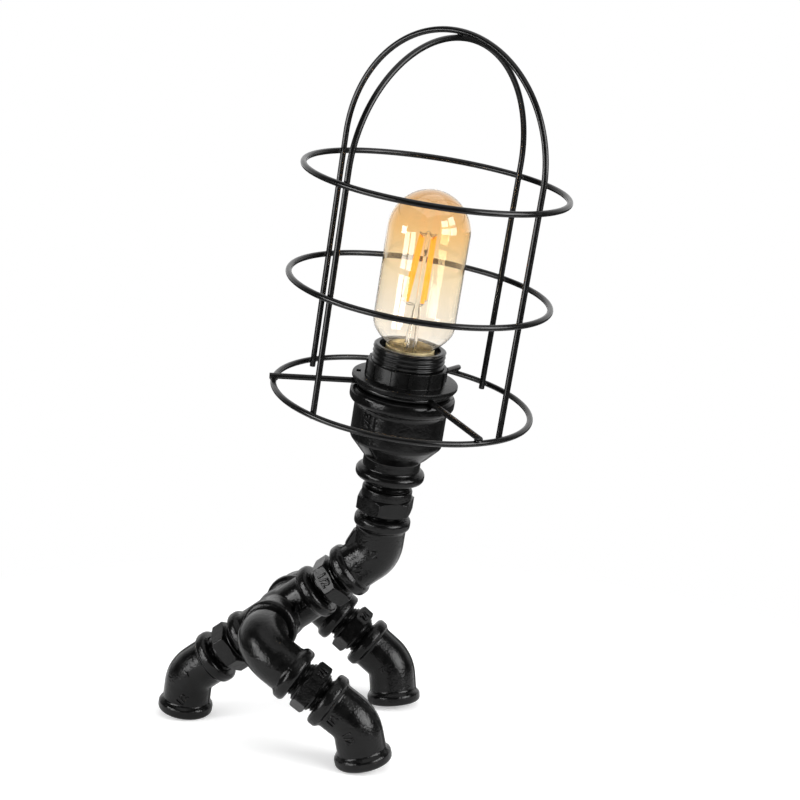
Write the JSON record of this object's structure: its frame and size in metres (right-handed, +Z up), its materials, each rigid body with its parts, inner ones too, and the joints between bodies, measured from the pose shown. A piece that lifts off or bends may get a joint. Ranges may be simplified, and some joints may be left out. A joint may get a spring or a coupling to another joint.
{
  "type": "table lamp",
  "caption": "Table lamp made of black threaded pipe fittings: a tripod of elbows, a bent neck, a threaded bulb holder and a tubular filament bulb inside a domed wire cage.",
  "frame": {"origin": "On the table plane, under the middle of the lamp's bounding box.", "axes": "+Z is up. +X is the way the sloping main pipe climbs, seen from above, from the rear foot to the neck. +Y runs from the near side leg to the far one, so the picture is taken from the -Y side."},
  "size_m": [0.2276, 0.1692, 0.3918],
  "materials": {
    "cast_fitting": "black lacquered malleable iron, semi-gloss over a fine cast skin",
    "black_wire": "satin black powder coat on round wire",
    "black_moulding": "glossy black thermoset moulding",
    "terminal_moulding": "pale insulating moulding, matte",
    "zinc_steel": "zinc-plated turned steel",
    "brass": "bright stamped brass",
    "cap_brass": "bright drawn brass",
    "bulb_glass": "thin amber-tinted clear glass",
    "stem_glass": "clear drawn glass",
    "cap_glass": "dark insulating glass",
    "filament": "orange phosphor-coated strip, matte",
    "lead_wire": "drawn nickel wire",
    "solder": "soft solder, dull"
  },
  "bodies": {
    "base": {"cross_fitting": "cast_fitting", "far_foot_elbow": "cast_fitting", "far_leg_nipple": "cast_fitting", "far_street_elbow": "cast_fitting", "near_foot_elbow": "cast_fitting", "near_leg_nipple": "cast_fitting", "near_street_elbow": "cast_fitting", "neck_nipple": "cast_fitting", "rear_foot_elbow": "cast_fitting", "rear_leg_nipple": "cast_fitting"},
    "neck": {"neck_elbow": "cast_fitting", "reducing_nipple": "cast_fitting", "reducing_socket": "cast_fitting", "tie_tube": "zinc_steel", "tie_washer_lower": "zinc_steel", "tie_washer_upper": "zinc_steel", "tie_nut_lower": "zinc_steel", "tie_nut_upper": "zinc_steel", "holder_cap": "black_moulding", "holder_skirt": "black_moulding", "terminal_block": "terminal_moulding", "screw_shell": "brass", "centre_contact": "brass", "terminal_screw_live": "brass", "terminal_screw_neutral": "brass"},
    "cage": {"cage_bottom_ring": "black_wire", "cage_hub_ring": "black_wire", "cage_lower_hoop": "black_wire", "cage_middle_ring": "black_wire", "cage_spoke_1": "black_wire", "cage_spoke_2": "black_wire", "cage_spoke_3": "black_wire", "cage_top_ring": "black_wire", "cage_upper_hoop": "black_wire"},
    "shade_ring": {"shade_ring": "black_moulding"},
    "bulb_tip": {"bulb_contact_tip": "solder"},
    "bulb": {"bulb_cap": "cap_brass", "bulb_cap_insulator": "cap_glass", "bulb_filament_1": "filament", "bulb_filament_2": "filament", "bulb_filament_3": "filament", "bulb_filament_4": "filament", "bulb_glass": "bulb_glass", "bulb_lead_wires": "lead_wire", "bulb_stem": "stem_glass"}
  },
  "joints": [
    {"name": "neck_swivel", "type": "hinge", "parent": "base", "child": "neck", "pos_m": [-0.04152, 0.0124, 0.06538], "axis": [0.798, 0, 0.6027], "range_deg": [-38, 22]},
    {"name": "cage_lift", "type": "slide", "parent": "neck", "child": "cage", "axis": [0.1446, -0.123, 0.9818], "range_m": [0, 0.01]},
    {"name": "ring_turn", "type": "hinge", "parent": "cage", "child": "shade_ring", "pos_m": [0.02633, 0.0006, 0.20036], "axis": [0.1446, -0.123, 0.9818], "range_deg": [0, 1440]},
    {"name": "bulb_lift", "type": "slide", "parent": "neck", "child": "bulb_tip", "axis": [0.1446, -0.123, 0.9818], "range_m": [0, 0.01815]},
    {"name": "bulb_turn", "type": "hinge", "parent": "bulb_tip", "child": "bulb", "pos_m": [0.02633, 0.0006, 0.20036], "axis": [0.1446, -0.123, 0.9818], "range_deg": [0, 1800]}
  ],
  "couplings": [
    {"joint": "ring_turn", "follows": "cage_lift", "rad_per_m": 2513.3},
    {"joint": "bulb_turn", "follows": "bulb_lift", "rad_per_m": 1731.4}
  ]
}
